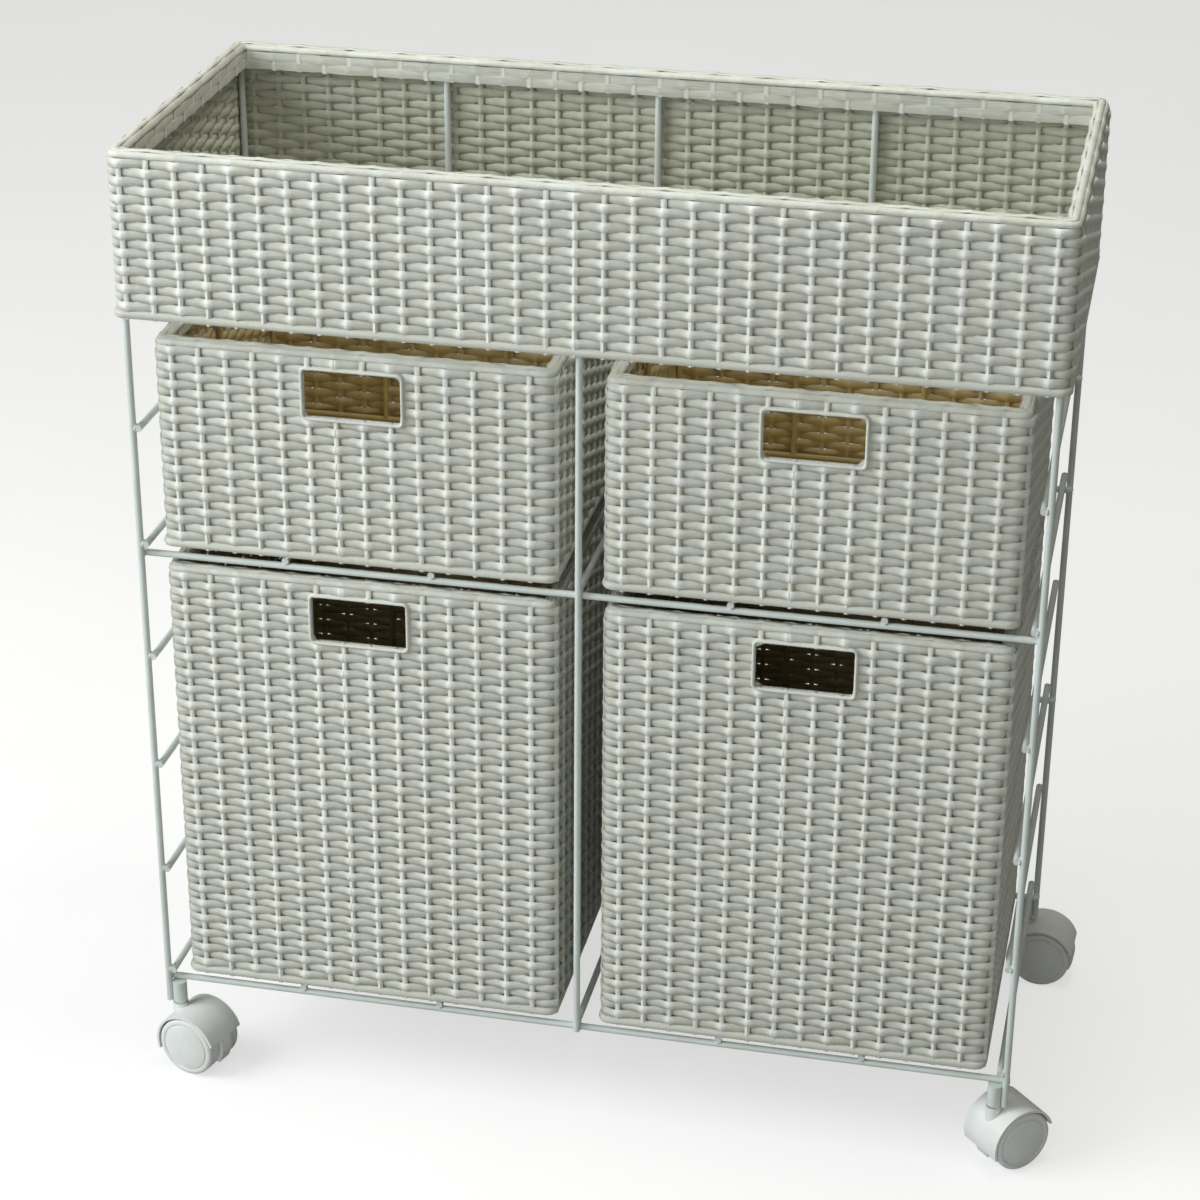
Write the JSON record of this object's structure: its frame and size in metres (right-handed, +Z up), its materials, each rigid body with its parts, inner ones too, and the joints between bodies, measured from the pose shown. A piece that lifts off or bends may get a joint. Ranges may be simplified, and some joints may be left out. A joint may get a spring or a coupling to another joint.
{
  "type": "laundry sorter on wheels",
  "caption": "Wire laundry cart with a woven open tray on top, woven pull-out drawers with hand holes in two tiers, and swivelling twin-wheel casters.",
  "frame": {"origin": "on the floor, under the middle of the cart", "axes": "+Z up, front of the cart faces -Y, +X to the right seen from the front"},
  "size_m": [0.7237, 0.3315, 0.744],
  "materials": {
    "frame_wire": "satin off-white powder coat on steel wire",
    "drawer_wire": "satin off-white powder coat on steel wire",
    "tray_weave": "off-white plain weave of twisted cord, lightly lacquered",
    "drawer_weave": "off-white plain weave of twisted cord, lightly lacquered",
    "caster_plastic": "white moulded nylon",
    "zinc_steel": "bright zinc plate"
  },
  "bodies": {
    "cart_frame": {"front_left_post": "frame_wire", "front_right_post": "frame_wire", "rear_right_post": "frame_wire", "rear_left_post": "frame_wire", "front_centre_post": "frame_wire", "rear_centre_post": "frame_wire", "lower_front_rail": "frame_wire", "middle_front_rail": "frame_wire", "lower_rear_rail": "frame_wire", "middle_rear_rail": "frame_wire", "lower_shelf_wires": "frame_wire", "middle_shelf_wires": "frame_wire", "left_rungs": "frame_wire", "right_rungs": "frame_wire", "lower_back_stop": "frame_wire", "upper_back_stop": "frame_wire", "tray_front_rail": "frame_wire", "tray_rear_rail": "frame_wire", "tray_floor_wires": "frame_wire", "tray_uprights": "frame_wire", "tray_rim_wire": "frame_wire", "tray_weave": "tray_weave", "front_left_socket": "frame_wire", "front_left_stem": "zinc_steel", "front_right_socket": "frame_wire", "front_right_stem": "zinc_steel", "rear_right_socket": "frame_wire", "rear_right_stem": "zinc_steel", "rear_left_socket": "frame_wire", "rear_left_stem": "zinc_steel"},
    "upper_left_drawer": {"upper_left_weave": "drawer_weave", "upper_left_floor": "drawer_weave", "upper_left_wires": "drawer_wire"},
    "upper_right_drawer": {"upper_right_weave": "drawer_weave", "upper_right_floor": "drawer_weave", "upper_right_wires": "drawer_wire"},
    "lower_left_drawer": {"lower_left_weave": "drawer_weave", "lower_left_floor": "drawer_weave", "lower_left_wires": "drawer_wire"},
    "lower_right_drawer": {"lower_right_weave": "drawer_weave", "lower_right_floor": "drawer_weave", "lower_right_wires": "drawer_wire"},
    "front_left_swivel": {"front_left_hood": "caster_plastic", "front_left_axle": "zinc_steel"},
    "front_left_roller_a": {"front_left_wheel_a": "caster_plastic"},
    "front_left_roller_b": {"front_left_wheel_b": "caster_plastic"},
    "front_right_swivel": {"front_right_hood": "caster_plastic", "front_right_axle": "zinc_steel"},
    "front_right_roller_a": {"front_right_wheel_a": "caster_plastic"},
    "front_right_roller_b": {"front_right_wheel_b": "caster_plastic"},
    "rear_right_swivel": {"rear_right_hood": "caster_plastic", "rear_right_axle": "zinc_steel"},
    "rear_right_roller_a": {"rear_right_wheel_a": "caster_plastic"},
    "rear_right_roller_b": {"rear_right_wheel_b": "caster_plastic"},
    "rear_left_swivel": {"rear_left_hood": "caster_plastic", "rear_left_axle": "zinc_steel"},
    "rear_left_roller_a": {"rear_left_wheel_a": "caster_plastic"},
    "rear_left_roller_b": {"rear_left_wheel_b": "caster_plastic"}
  },
  "joints": [
    {"name": "upper_left_slide", "type": "slide", "parent": "cart_frame", "child": "upper_left_drawer", "axis": [0, -1, 0], "range_m": [0, 0.24]},
    {"name": "upper_right_slide", "type": "slide", "parent": "cart_frame", "child": "upper_right_drawer", "axis": [0, -1, 0], "range_m": [0, 0.24]},
    {"name": "lower_left_slide", "type": "slide", "parent": "cart_frame", "child": "lower_left_drawer", "axis": [0, -1, 0], "range_m": [0, 0.24]},
    {"name": "lower_right_slide", "type": "slide", "parent": "cart_frame", "child": "lower_right_drawer", "axis": [0, -1, 0], "range_m": [0, 0.24]},
    {"name": "front_left_swivel_turn", "type": "hinge", "parent": "cart_frame", "child": "front_left_swivel", "pos_m": [-0.3172, -0.1345, 0.052], "axis": [0, 0, 1], "continuous": true},
    {"name": "front_left_roll_a", "type": "hinge", "parent": "front_left_swivel", "child": "front_left_roller_a", "pos_m": [-0.3019, -0.13918, 0.024], "axis": [0.2924, 0.9563, 0], "continuous": true},
    {"name": "front_left_roll_b", "type": "hinge", "parent": "front_left_swivel", "child": "front_left_roller_b", "pos_m": [-0.3019, -0.13918, 0.024], "axis": [0.2924, 0.9563, 0], "continuous": true},
    {"name": "front_right_swivel_turn", "type": "hinge", "parent": "cart_frame", "child": "front_right_swivel", "pos_m": [0.3172, -0.1345, 0.052], "axis": [0, 0, 1], "continuous": true},
    {"name": "front_right_roll_a", "type": "hinge", "parent": "front_right_swivel", "child": "front_right_roller_a", "pos_m": [0.3289, -0.12359, 0.024], "axis": [-0.682, 0.7314, 0], "continuous": true},
    {"name": "front_right_roll_b", "type": "hinge", "parent": "front_right_swivel", "child": "front_right_roller_b", "pos_m": [0.3289, -0.12359, 0.024], "axis": [-0.682, 0.7314, 0], "continuous": true},
    {"name": "rear_right_swivel_turn", "type": "hinge", "parent": "cart_frame", "child": "rear_right_swivel", "pos_m": [0.3172, 0.1345, 0.052], "axis": [0, 0, 1], "continuous": true},
    {"name": "rear_right_roll_a", "type": "hinge", "parent": "rear_right_swivel", "child": "rear_right_roller_a", "pos_m": [0.33318, 0.13366, 0.024], "axis": [0.0523, 0.9986, 0], "continuous": true},
    {"name": "rear_right_roll_b", "type": "hinge", "parent": "rear_right_swivel", "child": "rear_right_roller_b", "pos_m": [0.33318, 0.13366, 0.024], "axis": [0.0523, 0.9986, 0], "continuous": true},
    {"name": "rear_left_swivel_turn", "type": "hinge", "parent": "cart_frame", "child": "rear_left_swivel", "pos_m": [-0.3172, 0.1345, 0.052], "axis": [0, 0, 1], "continuous": true},
    {"name": "rear_left_roll_a", "type": "hinge", "parent": "rear_left_swivel", "child": "rear_left_roller_a", "pos_m": [-0.33224, 0.13997, 0.024], "axis": [-0.342, -0.9397, 0], "continuous": true},
    {"name": "rear_left_roll_b", "type": "hinge", "parent": "rear_left_swivel", "child": "rear_left_roller_b", "pos_m": [-0.33224, 0.13997, 0.024], "axis": [-0.342, -0.9397, 0], "continuous": true}
  ]
}
